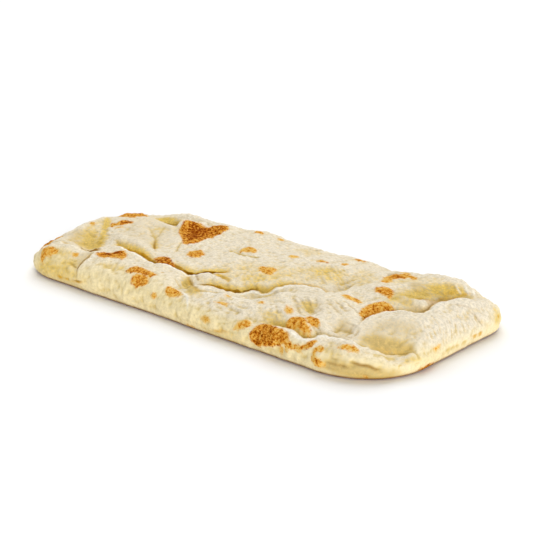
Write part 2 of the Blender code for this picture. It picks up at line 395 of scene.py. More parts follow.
def laid_flat(x, y, z):
    """The plan with the rolled side laid flat around it."""
    inset = inset_from_outline(x, y)
    east, north = outward(x, y)
    is_under = z < EQUATOR - TINY
    top_angle = np.arccos(1.0 - np.clip(inset / SHOULDER, 0.0, 1.0))
    whole = side_length(SHOULDER, THICKNESS - EQUATOR, np.pi / 2)
    above = side_length(SHOULDER, THICKNESS - EQUATOR, top_angle)
    under_angle = np.arcsin(np.clip(1.0 - z / EQUATOR, 0.0, 1.0))
    below = side_length(UNDERCUT, EQUATOR, under_angle)
    reach = np.where(is_under, whole + below, whole - above) - np.maximum(SHOULDER - inset, 0.0)
    return x + east * reach, y + north * reach


def push_outline(x, y):
    """Makes the outline uneven, then puts the origin back under the middle."""
    moved_x = x.copy()
    moved_y = y.copy()
    for bulge in BULGES:
        push = bulge.push * np.exp(-(np.hypot(x - bulge.x, y - bulge.y) ** 2) / bulge.reach**2)
        moved_x += push * np.cos(np.radians(bulge.turn))
        moved_y += push * np.sin(np.radians(bulge.turn))
    moved_x -= (moved_x.max() + moved_x.min()) / 2
    moved_y -= (moved_y.max() + moved_y.min()) / 2
    return moved_x, moved_y


def read_vectors(source, name):
    """One vector of each vertex as a row: its place or its normal."""
    values = np.zeros(len(source) * 3, np.float32)
    source.foreach_get(name, values)
    return values.reshape(-1, 3).astype(float)


def write_vertices(mesh, points):
    mesh.vertices.foreach_set("co", points.astype(np.float32).ravel())
    mesh.update()


# ---- Fine relief and where the crust takes colour, on the plan with the sides laid flat ----

# Browned patch with an outline: rise of the blister under it, how dark it is baked, outline
# (anticlockwise, seen from above)
Blot = namedtuple("Blot", "rise bake outline")
# Small round browned patch: centre, half sizes, turn in degrees, rise, how dark
Toast = namedtuple("Toast", "x y along across turn rise bake")
# Soft patch of colour with an outline: amount, softness of its edge, outline
Wash = namedtuple("Wash", "amount soft outline")
# Fine line on the crust: height (a groove is below zero), half width, how dark the painted shade in it is,
# route
Line = namedtuple("Line", "height width dark route")
# Patch of fine parallel wrinkles: centre, half sizes, turn of the wrinkles, spacing, height
Streaks = namedtuple("Streaks", "x y along across turn spacing height")
# Small soft patch of colour: centre, half sizes, turn, amount
Patch = namedtuple("Patch", "x y along across turn amount")
# Colours of a fold: painted shade on its left wall and foot, and flour with a painted highlight on its lip.
# How far the gold on its left reaches and how pale the lip on its right is; then, each at even steps along
# it, gold, deep gold and dark at its foot, and how far to its left the dough touches
Tint = namedtuple("Tint", "reach lip gold deep dark touch")

BLOTS = {
    "far left rim": Blot(0, 0.5, (
        (-165, 16), (-158, 22), (-167, 36), (-169, 47), (-174, 46), (-179, 43), (-181, 34), (-182, 26),
        (-177, 18)
    )),
    "left plateau": Blot(0.5, 0.5, (
        (-162, -5), (-158, -7), (-156, -3), (-153, -1), (-149, 2), (-147, 9), (-154, 9), (-159, 6),
        (-159, 1), (-164, -1)
    )),
    "left plateau, middle": Blot(0, 1.0, ((-155, 1), (-151, 2), (-148, 8), (-153, 8), (-157, 5))),
    "left corner": Blot(0.5, 0.36, (
        (-159, -91), (-155, -92), (-156, -87), (-153, -85), (-149, -84), (-145, -81), (-145, -77),
        (-150, -76), (-156, -75), (-162, -76), (-165, -78), (-164, -83), (-161, -87)
    )),
    "left rim": Blot(0, 0.6, (
        (-183, -64), (-183, -54), (-186, -46), (-189, -39), (-198, -40), (-200, -50), (-196, -63)
    )),
    "near the notch": Blot(0.5, 0.56, (
        (-106, -67), (-98, -69), (-94, -69), (-90, -66), (-87, -62), (-82, -63), (-76, -65), (-78, -61),
        (-82, -55), (-88, -51), (-93, -49), (-95, -52), (-99, -54), (-102, -57), (-107, -60),
        (-108, -64)
    )),
    "near the notch, middle": Blot(0, 1.1, (
        (-104, -64), (-98, -61), (-94, -58), (-89, -55), (-93, -51), (-96, -54), (-101, -57),
        (-104, -60)
    )),
    "near left, upper": Blot(0.5, 0.55, (
        (-60, -76), (-54, -77), (-49, -75), (-42, -74), (-37, -74), (-33, -75), (-29, -70), (-35, -69),
        (-42, -68), (-48, -67), (-56, -66), (-59, -71)
    )),
    "near left, lower": Blot(0.5, 0.5, (
        (-46, -84), (-41, -86), (-38, -87), (-36, -85), (-31, -83), (-32, -78), (-36, -75), (-41, -74),
        (-46, -76), (-47, -80)
    )),
    "near, by the trough": Blot(0.5, 0.38, (
        (-8, -84), (0, -85), (5, -83), (9, -80), (3, -77), (-4, -75), (-9, -75), (-11, -79)
    )),
    "on the long crease": Blot(0, 0.75, (
        (-64, -41), (-57, -44), (-50, -45), (-40, -47), (-38, -42), (-46, -38), (-54, -33), (-60, -34)
    )),
    "heart": Blot(0, 0.62, (
        (-95, 17), (-82, 7), (-73, 1), (-68, 0), (-64, 5), (-63, 12), (-66, 22), (-65, 30), (-66, 40),
        (-67, 50), (-73, 55), (-79, 53), (-82, 47), (-84, 41), (-93, 41), (-98, 40), (-102, 36),
        (-102, 30), (-101, 25), (-99, 20)
    )),
    "heart, dark left half": Blot(0, 0.97, (
        (-93, 26), (-84, 15), (-72, 7), (-71, 15), (-77, 26), (-80, 32), (-83, 38), (-90, 38),
        (-96, 37), (-98, 33)
    )),
    "heart, dark right half": Blot(0, 0.8, (
        (-80, 24), (-76, 26), (-74, 33), (-72, 40), (-69, 47), (-74, 49), (-79, 43), (-83, 38)
    )),
    "pointed spot": Blot(0.5, 0.47, (
        (-44, -20), (-37, -19), (-37, -14), (-39, -8), (-45, -4), (-50, -2), (-54, -6), (-55, -11),
        (-49, -19)
    )),
    "half moon on the plateau": Blot(0.5, 0.28, (
        (-19, 14), (-14, 16), (-10, 16), (-5, 17), (-9, 23), (-15, 26), (-21, 25), (-22, 18)
    )),
    "plateau's near slope": Blot(0.5, 0.38, (
        (27, -10), (32, -12), (38, -14), (38, -9), (37, -5), (34, 0), (29, 2), (25, 0), (21, -1),
        (21, -6)
    )),
    "near flank": Blot(0.5, 0.3, (
        (70, -93), (75, -92), (80, -89), (83, -86), (82, -82), (77, -81), (73, -84), (71, -89)
    )),
    "big": Blot(0.8, 0.61, (
        (89, -98), (94, -100), (100, -98), (108, -96), (115, -94), (119, -92), (121, -89), (119, -86),
        (115, -84), (110, -83), (105, -82), (98, -79), (93, -78), (88, -81), (87, -87), (86, -93)
    )),
    "tail of the big one": Blot(0, 0.45, (
        (118, -93), (122, -94), (127, -93), (132, -92), (137, -90), (141, -85), (141, -80), (138, -82),
        (135, -86), (132, -89), (126, -90), (119, -90)
    )),
    "left half moon": Blot(0.8, 0.46, (
        (111, -76), (117, -76), (122, -75), (126, -75), (131, -75), (128, -71), (123, -69), (119, -66),
        (115, -65), (111, -68), (109, -72)
    )),
    "right half moon": Blot(0.8, 0.46, (
        (122, -67), (127, -68), (131, -66), (130, -63), (126, -60), (118, -60), (118, -64)
    )),
    "behind the right pillow": Blot(0.5, 0.4, (
        (149, -28), (150, -18), (151, -11), (153, -7), (152, -4), (147, -3), (142, -3), (138, -7),
        (135, -13), (137, -23), (141, -32), (146, -34)
    )),
    "streak on the dome": Blot(0.5, 0.28, (
        (112, -18), (118, -18), (122, -18), (128, -19), (130, -15), (123, -11), (118, -12), (113, -14)
    )),
    "far valley": Blot(0.5, 0.5, (
        (125, 7), (130, 8), (135, 7), (141, 3), (138, 12), (133, 19), (128, 21), (125, 17), (122, 13)
    )),
    "far ridge": Blot(0, 0.36, (
        (117, 33), (118, 37), (114, 46), (117, 51), (118, 57), (121, 58), (126, 56), (124, 62),
        (119, 64), (113, 65), (109, 64), (108, 56), (106, 52), (107, 44), (112, 33)
    )),
    "far ridge, middle": Blot(0, 0.75, (
        (110, 47), (116, 50), (116, 57), (113, 61), (109, 59), (108, 53)
    )),
    "curl on the near rim": Blot(0, 0.36, (
        (143, -87), (143, -93), (144, -97), (149, -99), (154, -98), (156, -95), (152, -94), (148, -93),
        (146, -91), (147, -89), (150, -88), (150, -85), (146, -84)
    )),
    "near rim": Blot(0.5, 0.3, (
        (159, -80), (166, -79), (170, -77), (173, -75), (169, -73), (164, -74), (160, -77)
    )),
}

TOASTS = (
    # Lower edge, right end
    Toast(216, -33, 2.4, 9, -4, 0, 0.75),
    # Left end and far side
    Toast(-150, -5, 3, 1.2, 30, 0, 0.2),
    Toast(-180.5, -11, 2.6, 2.4, 0, 0.2, 0.3),
    Toast(-43, 64, 4, 3, 0, 0.5, 0.4),
    Toast(-21, 68, 3, 2.5, 0, 0.5, 0.3),
    Toast(25, 31, 3.5, 2.5, 60, 0.5, 0.1),
    Toast(50, 38, 5.5, 2.2, 0, 0.8, 0.45),
    Toast(65, 48, 3, 3, 0, 0.5, 0.2),
    Toast(62, 72, 5, 3.5, 20, 0, 0.5),
    # Trough, low ground and little dome
    Toast(46, -73, 4.5, 1.3, 10, 0.5, 0.25),
    Toast(43, -65, 2.2, 1.0, 0, 0.5, 0.05),
    Toast(73, -61, 2.2, 1.8, 20, 0.5, 0.2),
    Toast(99, -60, 6.5, 2.6, -48, 0.4, 0.3),
    # Under the big spot and along the foot
    Toast(116, -97, 1.5, 3, 0, 0, 0.3),
    Toast(121, -95, 1.2, 1.5, 0, 0, 0.2),
    Toast(131, -93, 2.2, 1.2, 0, 0, 0.2),
    Toast(25, -103, 3, 1.0, 0, 0, 0.3),
    # Far ridge
    Toast(121, 61, 3, 2, -20, 0.3, 0.5),
    Toast(111, 67, 3, 1.8, 0, 0, 0.2),
    # Right lobe and rim
    Toast(205, -21, 1.6, 3, 0, 0.3, 0.2),
    Toast(190, -87, 2, 1.5, 30, 0, 0.3),
    # Near flank
    Toast(42, -92.5, 5.5, 2.5, 0, 0.4, 0.14),
    Toast(-17.5, -89, 2.4, 2.1, 0, 0.3, 0.3),
    Toast(-125, -74.5, 3.0, 2.6, 0, 0.3, 0.35),
)

MARKS = (
    # Golden marks low on the near flank
    Patch(-131, -99, 4, 2, 0, 1.0),
    Patch(-122, -99, 3.5, 1.2, 0, 0.8),
    Patch(-106, -97, 8, 1.2, 10, 1.0),
    Patch(57, -98, 9, 1.6, 12, 0.8),
    # By the fork
    Patch(-29, -64, 2, 1.5, 0, 0.7),
    # Right end
    Patch(210, 33, 1.8, 2.4, 0, 1.1),
    Patch(210, 26, 1.6, 3, 0, 1.1),
    Patch(204, 60, 1.3, 2.2, 0, 1.0),
    # Golden hollow and curl on the near rim
    Patch(158, 59, 8, 3, 50, 0.5),
    Patch(146, -92, 2, 5, 0, 0.4),
)

LINES = (
    # Rim notch and left plateau
    Line(-1.5, 1.4, 0.4, ((-125, -83), (-118, -85), (-111, -86))),
    Line(-1.2, 1.4, 0.3, ((-113, -65), (-110, -72), (-109, -79), (-108, -87))),
    Line(-0.8, 2.5, 0.1, ((-92, -75), (-84, -77), (-73, -78), (-60, -76))),
    Line(-0.8, 1.2, 0.1, ((-131, -15), (-129, -7), (-124, -3), (-114, -4))),
    Line(-0.6, 1.2, 0.0, ((-125, -17), (-123, -11), (-117, -9))),
    # Fork and trough
    Line(-1.2, 1.4, 0.5, ((-12, -45), (-7, -48), (-2, -51))),
    Line(-0.9, 2.2, 0.1, ((-20, -48), (-14, -52), (-6, -57), (4, -63), (14, -67), (24, -63))),
    Line(-0.6, 1.0, 0.45, ((-17, -49), (-12, -52), (-6, -55), (3, -61), (12, -67), (17, -66))),
    # Low ground before the domes, and the far right valley
    Line(-1.0, 1.5, 0.2, ((42, -50), (47, -49), (52, -50))),
    Line(-1.0, 1.6, 0.2, ((83, 8), (86, 18), (88, 27), (91, 36))),
    Line(-1.0, 1.6, 0.3, ((62, -46), (70, -50), (77, -45))),
    # Star of wrinkles in the dome pit
    Line(-0.3, 0.8, 0.35, ((83, -40), (89, -43), (95, -46), (101, -49), (107, -51))),
    Line(-0.35, 0.9, 0.3, ((86, -37), (94, -42), (102, -46), (110, -50))),
    Line(-0.35, 0.9, 0.3, ((95, -36), (102, -41), (111, -47))),
    Line(-0.35, 0.9, 0.3, ((102, -33), (107, -39), (113, -47))),
    Line(-0.35, 0.9, 0.25, ((111, -34), (112, -41), (115, -48))),
    Line(-0.35, 0.9, 0.25, ((121, -40), (118, -45), (114, -50))),
    Line(-0.2, 0.9, 0.25, ((98, -47), (104, -43), (110, -40), (116, -38))),
    # Slope before the half moons
    Line(-1.0, 1.2, 0.3, ((111, -58), (120, -62), (130, -66), (138, -70))),
    Line(-1.0, 1.2, 0.3, ((116, -64), (125, -67), (133, -70), (141, -75))),
    # Net of wrinkles in the near pit
    Line(-0.8, 1.3, 0.3, ((145, -70), (149, -62), (149, -54), (145, -46))),
    Line(-0.8, 1.3, 0.3, ((138, -65), (141, -57), (140, -49))),
    Line(-0.8, 1.3, 0.3, ((153, -66), (156, -58), (154, -50))),
    Line(-0.7, 1.3, 0.25, ((136, -57), (146, -54), (158, -56))),
    Line(-0.7, 1.3, 0.25, ((139, -49), (147, -48), (155, -50))),
    Line(-0.7, 1.3, 0.25, ((137, -63), (148, -60), (160, -62))),
    # Right side of the dome
    Line(-0.8, 1.3, 0.3, ((116, -29), (127, -33), (138, -37))),
    Line(-0.8, 1.3, 0.3, ((120, -24), (130, -28), (141, -32))),
    Line(-0.8, 1.3, 0.3, ((114, -36), (124, -39), (134, -43))),
    # Near right rim
    Line(-1.2, 1.7, 0.6, ((171, -86), (175, -84), (180, -82), (185, -79), (191, -77), (197, -74))),
    Line(-0.6, 1.3, 0.3, ((157, -89), (161, -89), (165, -88))),
    Line(-0.9, 1.6, 0.45, ((154, -94), (160, -93), (168, -91), (177, -88))),
    Line(-0.5, 1.5, 0.3, ((151, -98), (161, -97), (171, -94))),
    # Right pillow and lobe
    Line(-1.1, 1.4, 0.2, ((187, -43), (191, -41), (200, -42), (208, -41))),
    Line(-0.8, 1.2, 0.4, ((193, 30), (197, 33), (202, 35), (207, 37))),
    Line(-0.6, 1.2, 0.3, ((181, 20), (186, 25), (190, 30), (194, 36))),
    Line(-0.5, 1.8, 0.12, ((172, -36), (175, -40), (178, -43), (181, -47))),
    # Near flank
    Line(-0.7, 2.0, 0.0, ((10, -89), (22, -86), (34, -87), (47, -83), (61, -85))),
    Line(-0.7, 2.0, 0.0, ((45, -94), (61, -91), (71, -85), (79, -77))),
    Line(0.5, 1.3, 0.0, ((3, -76), (13, -79), (19, -85), (23, -92))),
    Line(-0.2, 1.0, 0.5, ((-116, -98), (-110, -97), (-104, -96), (-98, -95))),
    # Ridges by the golden hollow
    Line(1.0, 1.0, 0.0, ((155, 67), (160, 64), (166, 61))),
    Line(1.0, 1.0, 0.0, ((161, 72), (166, 67), (172, 62))),
    Line(1.0, 1.0, 0.0, ((168, 73), (171, 69), (175, 65))),
    # Flat dark lines where folds touch: painted shade in the crease
    Line(0.0, 0.8, 0.8, ((-153, -52), (-150, -49), (-144, -49), (-141, -48), (-134, -52), (-127, -55))),
    Line(0.0, 0.8, 0.6, ((-150, 48), (-147, 48), (-143, 48), (-139, 49), (-136, 52), (-133, 55))),
    Line(0.0, 0.7, 0.7, (
        (-2, -57), (2, -53), (5, -50), (8, -48), (12, -47), (18, -47), (23, -46), (27, -45)
    )),
    Line(0.0, 0.7, 0.8, ((36, -42), (38, -39), (40, -36), (42, -35))),
    Line(0.0, 0.8, 0.4, (
        (156, 48), (158, 51), (161, 54), (163, 57), (166, 59), (169, 60), (174, 60), (179, 58)
    )),
    Line(0.0, 0.7, 0.9, (
        (-16, -41), (-13, -38), (-10, -35), (-7, -33), (-4, -31), (-1, -28), (2, -25)
    )),
)

# The place of an entry picks its noise, so new ones go last
STREAKS = (
    # Right pillow
    Streaks(200, 0, 16, 52, -20, 2.0, 0.55),
    Streaks(203, 34, 12, 22, 15, 2.0, 0.45),
    Streaks(183, -45, 20, 16, 60, 2.2, 0.6),
    # Speckled ground, and low ground before the domes
    Streaks(30, -24, 26, 14, -47, 2.2, 0.7),
    Streaks(88, -66, 14, 9, -45, 2.0, 0.9),
    # Trough and far right valley
    Streaks(-4, -64, 22, 9, -27, 2.2, 1.0),
    Streaks(142, 25, 22, 24, 20, 2.2, 0.8),
    Streaks(72, 22, 26, 22, -25, 2.2, 0.8),
    # Left bowl
    Streaks(-160, -28, 18, 18, -22, 2.6, 0.6),
    # Domes
    Streaks(124, -34, 20, 14, -19, 2.4, 0.7),
    Streaks(104, -44, 14, 8, -25, 1.9, 0.8),
    Streaks(132, -70, 12, 7, -29, 2.0, 0.7),
    # Near flank and rim
    Streaks(60, -75, 34, 14, 0, 3.0, 0.6),
    Streaks(-135, -88, 26, 12, 10, 2.6, 0.5),
    Streaks(178, -86, 22, 9, 20, 2.2, 0.6),
)

# Outlines of patches that get both the gold and the painted shade
LEFT_BOWL = (
    (-149, -50), (-150, -43), (-145, -39), (-147, -32), (-165, -17), (-173, -20), (-173, -29),
    (-155, -50)
)
TROUGH = (
    (-13, -58), (-8, -62), (8, -74), (16, -77), (20, -71), (13, -66), (0, -60), (-8, -54), (-14, -53)
)
FAR_RIGHT_VALLEY = (
    (145, -2), (152, 5), (159, 9), (152, 40), (149, 48), (143, 53), (137, 41), (136, 24), (140, 1)
)
PILLOW_FOOT = (
    (165, -60), (171, -59), (177, -56), (181, -50), (186, -45), (192, -40), (186, -40), (175, -43),
    (165, -49), (161, -57)
)

# Where the dough is golden: partly golden dough, partly painted shade in hollows and on slopes turned from
# the light
GOLDS = {
    "left of the golden hollow": Wash(0.5, 4, (
        (153, 42), (157, 40), (161, 30), (166, 30), (166, 36), (160, 48)
    )),
    "trough": Wash(0.9, 5, TROUGH),
    "left bowl's far edge": Wash(1.0, 6, (
        (-128, -42), (-141, -28), (-155, -15), (-166, -3), (-174, 2), (-173, -4), (-164, -14),
        (-156, -24), (-150, -34), (-132, -48)
    )),
    "left bowl": Wash(0.8, 8, LEFT_BOWL),
    "left bowl, upper side": Wash(0.6, 9, (
        (-152, -48), (-151, -40), (-148, -35), (-160, -21), (-175, -12), (-178, -19), (-175, -29),
        (-159, -47)
    )),
    "left bowl, left side": Wash(0.65, 8, (
        (-159, -58), (-159, -47), (-165, -32), (-173, -14), (-181, -1), (-180, -8), (-178, -27),
        (-168, -51)
    )),
    "corner lobe's flank": Wash(0.65, 10, (
        (-170, -98), (-157, -104), (-132, -103), (-102, -98), (-96, -94), (-105, -90), (-113, -80),
        (-121, -78), (-136, -83), (-154, -87), (-164, -91)
    )),
    "corner lobe's front": Wash(0.6, 8, (
        (-151, -86), (-135, -83), (-123, -76), (-133, -71), (-147, -73), (-154, -79)
    )),
    "left rim": Wash(0.9, 4, ((-170, -8), (-160, -12), (-166, 0), (-181, 8), (-178, 0))),
    "far left valley": Wash(1.0, 6, (
        (-160, 44), (-135, 38), (-112, 36), (-108, 44), (-120, 54), (-140, 58), (-158, 56)
    )),
    "left of the heart": Wash(0.5, 5, ((-115, 7), (-109, 11), (-113, 19), (-122, 19), (-124, 12))),
    "crest of the near left pillow": Wash(0.5, 4, (
        (-91, -76), (-89, -78), (-78, -77), (-64, -76), (-66, -71), (-80, -73)
    )),
    "speckled ground": Wash(0.42, 14, (
        (10, -45), (33, -40), (50, -25), (63, -5), (86, 9), (87, 27), (77, 32), (43, 19), (21, 7),
        (0, -6), (-12, -34)
    )),
    "speckled ground, foot": Wash(0.6, 9, (
        (33, -40), (44, -30), (55, -15), (45, -2), (28, -12), (15, -31)
    )),
    "speckled ground, right end": Wash(0.65, 9, (
        (68, 3), (83, 7), (86, 22), (79, 34), (61, 34), (48, 18)
    )),
    "plateau's far side": Wash(0.4, 8, ((20, 43), (35, 43), (35, 59), (18, 68), (10, 51))),
    "far right valley": Wash(1.0, 10, FAR_RIGHT_VALLEY),
    "golden hollow": Wash(0.9, 6, (
        (143, 46), (149, 45), (155, 50), (167, 59), (175, 61), (166, 66), (158, 68), (145, 62),
        (138, 54)
    )),
    "by the far ridge": Wash(0.4, 8, (
        (130, 39), (137, 55), (145, 62), (142, 67), (134, 65), (121, 58), (113, 45), (117, 31)
    )),
    "foot of the right pillow": Wash(0.7, 8, PILLOW_FOOT),
    "near right rim": Wash(0.7, 7, (
        (157, -99), (174, -96), (193, -85), (209, -67), (211, -55), (206, -62), (193, -72), (173, -84),
        (158, -89), (147, -97)
    )),
    "foot of the near right rim": Wash(1.1, 4, (
        (168, -97), (187, -91), (203, -76), (206, -67), (193, -80), (176, -91), (161, -96)
    )),
    "right lobe's end": Wash(0.7, 4, (
        (198, -56), (204, -57), (208, -43), (206, -38), (204, -41), (197, -47)
    )),
    "dome pit": Wash(0.75, 5, (
        (98, -43), (104, -40), (110, -42), (112, -47), (108, -50), (101, -49), (97, -46)
    )),
    "before the little dome": Wash(0.5, 5, (
        (90, -74), (102, -73), (105, -70), (96, -64), (85, -66), (80, -72)
    )),
    "far right corner": Wash(0.6, 5, (
        (201, 55), (206, 50), (210, 57), (204, 68), (199, 63), (193, 58)
    )),
    "foot of the near rim": Wash(0.4, 6, (
        (50, -104), (74, -106), (87, -99), (82, -93), (57, -95), (36, -99)
    )),
    "front of the tongue": Wash(0.4, 6, (
        (-9, -46), (2, -41), (13, -36), (22, -40), (12, -46), (0, -53)
    )),
    "near bubble": Wash(0.4, 7, (
        (146, -82), (155, -76), (166, -78), (168, -86), (155, -93), (148, -89)
    )),
    "far slope": Wash(0.35, 10, ((76, 46), (92, 54), (112, 36), (106, 14), (86, 26))),
    "along the forked crease": Wash(0.4, 8, (
        (-110, 8), (-98, -4), (-86, -16), (-74, -29), (-80, -31), (-92, -22), (-106, -8), (-118, 6)
    )),
}

# Painted shade: where the crust is painted a darker sandy yellow
PAINTED_SHADE_WASHES = {
    "left bowl": Wash(0.45, 8, LEFT_BOWL),
    "near slope of the right pillow": Wash(0.58, 10, (
        (159, -55), (165, -54), (172, -45), (184, -38), (193, -29), (182, -23), (162, -31), (158, -45)
    )),
    "near right rim": Wash(0.95, 6, (
        (156, -100), (174, -97), (193, -85), (206, -70), (206, -62), (194, -72), (174, -84), (162, -88),
        (150, -96)
    )),
    "far right valley": Wash(0.4, 7, FAR_RIGHT_VALLEY),
    "rim notch": Wash(0.55, 3, (
        (-123, -70), (-118, -79), (-111, -86), (-109, -77), (-111, -67), (-116, -62)
    )),
    "trough": Wash(0.7, 5, TROUGH),
    "low ground before the dome": Wash(0.5, 5, (
        (53, -42), (74, -56), (79, -51), (75, -42), (59, -35), (50, -40)
    )),
    "left of the golden hollow": Wash(0.7, 5, ((139, 36), (143, 48), (136, 55), (128, 45))),
    "foot of the right pillow": Wash(1.1, 8, PILLOW_FOOT),
    "dome pit": Wash(0.5, 4, ((104, -50), (108, -49), (116, -47), (109, -42), (102, -42), (98, -46))),
    "near pit": Wash(0.6, 6, ((138, -57), (144, -58), (153, -58), (147, -48), (138, -44), (135, -51))),
    "right side of the dome": Wash(0.3, 8, (
        (119, -46), (130, -46), (127, -31), (117, -24), (109, -37)
    )),
    "near flank": Wash(0.3, 5, ((58, -87), (66, -86), (70, -80), (60, -74), (53, -82))),
    "left bowl's rim": Wash(0.55, 8, (
        (-186, -34), (-182, -24), (-172, -22), (-160, -38), (-157, -52), (-170, -50)
    )),
    "left plateau": Wash(0.34, 14, (
        (-172, 12), (-150, 42), (-112, 34), (-86, 6), (-74, -24), (-100, -32), (-130, -22), (-152, -10)
    )),
    "right lobe": Wash(0.3, 8, ((172, -67), (192, -64), (202, -52), (196, -44), (180, -54))),
    "inside the near rim": Wash(0.5, 4, ((142, -68), (146, -62), (152, -60), (156, -66), (150, -71))),
}

# Where it is deep golden: painted shade in hollows and at the feet of folds
DEEPS = {
    "trough": Wash(0.55, 2.5, (
        (-17, -50), (-14, -53), (-8, -57), (2, -64), (12, -70), (18, -70), (18, -67), (10, -66),
        (-2, -58), (-9, -53), (-15, -48)
    )),
    "golden hollow": Wash(0.2, 4, ((154, 52), (160, 55), (168, 61), (163, 65), (156, 66), (150, 61))),
    "foot of the right pillow": Wash(0.35, 3, (
        (169, -57), (174, -53), (180, -47), (186, -44), (193, -42), (197, -45), (188, -47), (182, -51),
        (176, -57)
    )),
    "edge of the golden hollow": Wash(0.5, 1.5, (
        (154, 44), (157, 46), (163, 54), (169, 61), (172, 66), (167, 64), (160, 56), (154, 50)
    )),
}

# Where more flour lies
FLOURS = {
    "right pillow's end": Wash(0.6, 12, (
        (194, -24), (204, -28), (212, -7), (215, 23), (210, 47), (201, 52), (193, 44), (184, 18),
        (186, -8)
    )),
    "right lobe": Wash(0.5, 8, (
        (194, -67), (205, -62), (208, -51), (199, -48), (186, -46), (180, -53)
    )),
}

# Where the flour has rubbed off
BARES = {
    "near left pillow": Wash(0.42, 14, (
        (-104, -84), (-85, -70), (-53, -69), (-27, -67), (-9, -72), (21, -84), (41, -90), (62, -93),
        (83, -94), (81, -103), (34, -107), (-33, -107), (-92, -103)
    )),
    "corner lobe": Wash(0.35, 12, (
        (-159, -82), (-149, -70), (-126, -71), (-114, -84), (-130, -95), (-153, -96)
    )),
}

# Colours of the folds, by the names of the folds
TINTS = {
    "long crease": Tint(
        7.0,
        0.7,
        (0.3, 0.8, 1.0, 1.0, 0.75, 0.4, 0.6, 0.8, 0.9, 1.5, 3.0),
        (0.2, 0.8, 0.9, 0.9, 0.9, 0.7, 0.9, 0.7, 1.0, 1.8, 4.0),
        (0.0, 0.2, 0.35, 0.4, 0.45, 0.5, 0.7, 0.5, 1.3, 1.3, 0.3),
        (
            0.1, 0.1, 0.3, 0.6, 0.9, 2.1, 2.6, 3.0, 2.9, 2.2, 1.9, 2.2, 3.7, 5.2, 3.5, 2.1, 2.0, 2.8,
            1.3, 0.6, 0.3,
        ),
    ),
    "crease end, near fork": Tint(2.5, 0.2, (0.6,), (0.5,), (0.2, 0.05), (0.8, 0.5)),
    "plateau foot": Tint(
        7.0,
        0.6,
        (2.0, 1.1, 0.8, 1.0, 0.75, 0.8, 0.4, 0.3, 0.3, 0.4, 0.5),
        (2.6, 1.5, 0.8, 1.0, 0.15, 0.4, 0.5, 0.4, 0.3, 0.2, 0.1),
        (0.6, 0.8, 0.6, 0.9, 0.0, 0.1, 0.1, 0.05, 0.0, 0.05, 0.0),
        (
            1.0, 2.6, 2.8, 2.2, 2.4, 2.7, 2.2, 1.8, 1.2, 1.9, 3.4, 4.1, 3.8, 3.8, 4.0, 3.6, 4.0, 1.6,
            0.8, 0.6, 0.5,
        ),
    ),
    "plateau lip": Tint(3.0, 0.5, (0.2,), (0.1,), (0.2, 0.1, 0.1, 0.0, 0.0), (1.5, 2.5, 4.0, 5.0, 4.0)),
    "behind the corner lobe": Tint(
        6.0,
        0.3,
        (0.5,),
        (0.0, 0.2, 0.6, 0.9, 0.9, 0.5),
        (0.0, 0.0, 0.0, 0.0, 0.0, 0.1, 0.3, 0.8, 0.8, 0.6, 0.3),
        (15.5, 14.0, 3.5, 3.8, 5.5, 8.2, 9.5, 11.4, 7.5, 5.0, 3.6),
    ),
    "rim notch": Tint(
        3.0,
        0.4,
        (0.3,),
        (0.6, 0.4, 0.3),
        (0.7, 0.6, 0.4, 0.1, 0.0),
        (1.8, 1.9, 2.4, 2.4, 2.0),
    ),
    "behind the left plateau": Tint(
        8.0,
        0.4,
        (0.7,),
        (0.3, 0.6, 0.8, 0.8),
        (0.0, 0.0, 0.2, 0.5, 0.5, 0.0),
        (7.5, 7.5, 4.0, 5.0, 6.2, 7.4, 9.6, 12.5, 21.0, 21.0, 21.0),
    ),
    "behind the heart": Tint(4.0, 0.3, (0.3,), (0.1,), (0.1,), (4.5,)),
    "forked crease": Tint(
        3.5,
        0.1,
        (0.1, 0.1, 0.3, 0.6, 0.5),
        (0.0, 0.0, 0.1, 0.5, 0.5),
        (0.0, 0.0, 0.0, 0.1, 0.4, 0.6, 0.5, 0.1),
        (0.5,),
    ),
    "forked crease, branch": Tint(3.0, 0.0, (0.05,), (0.0,), (0.0,), (0.5,)),
    "short crease": Tint(2.5, 0.1, (0.25,), (0.2,), (0.2, 0.0), (0.5,)),
    "plateau groove": Tint(3.0, 0.3, (0.2,), (0.0,), (0.0, 0.1, 0.2, 0.0), (0.8,)),
    "between the domes": Tint(3.0, 0.3, (0.25,), (0.1,), (0.05, 0.1, 0.3, 0.3), (0.5,)),
    "behind the near rim": Tint(
        6.0,
        0.6,
        (0.5, 0.5, 0.5, 0.5, 0.4, 0.25, 0.05, 0.0, 0.1, 0.3, 0.4),
        (0.3, 0.3, 0.3, 0.3, 0.2, 0.1, 0.0, 0.0, 0.0, 0.2, 0.3),
        (0.0, 0.0, 0.0, 0.2, 0.2, 0.1, 0.0, 0.0, 0.0, 0.2, 0.3),
        (0.1, 0.2, 0.3, 0.9, 1.0, 2.0, 2.2, 3.2, 3.3, 1.7, 3.5),
    ),
    "behind the right pillow": Tint(
        6.0,
        0.5,
        (0.2, 0.2, 0.3, 0.3, 0.3, 0.4, 0.5),
        (0.1, 0.1, 0.2, 0.2, 0.5, 0.5, 0.5),
        (0.1, 0.1, 0.0, 0.05, 0.05, 0.05, 0.2, 0.35, 0.35, 0.4, 0.3),
        (0.5, 1.6, 1.9, 2.4, 3.4, 3.2, 3.2, 23.4, 23.2, 13.5, 1.6),
    ),
    "behind the right lobe": Tint(
        6.0,
        0.3,
        (0.3,),
        (0.2,),
        (0.0, 0.25, 0.2, 0.2, 0.05, 0.0),
        (3.0, 2.5, 1.4, 1.5, 0.8, 0.5),
    ),
    "far notch, right": Tint(3.0, 0.0, (0.2,), (0.1,), (0.0,), (2.0,)),
    "far notch, middle": Tint(3.0, 0.0, (0.2,), (0.1,), (0.0,), (3.0,)),
    "far notch, left": Tint(3.0, 0.0, (0.2,), (0.1,), (0.0,), (3.0,)),
}

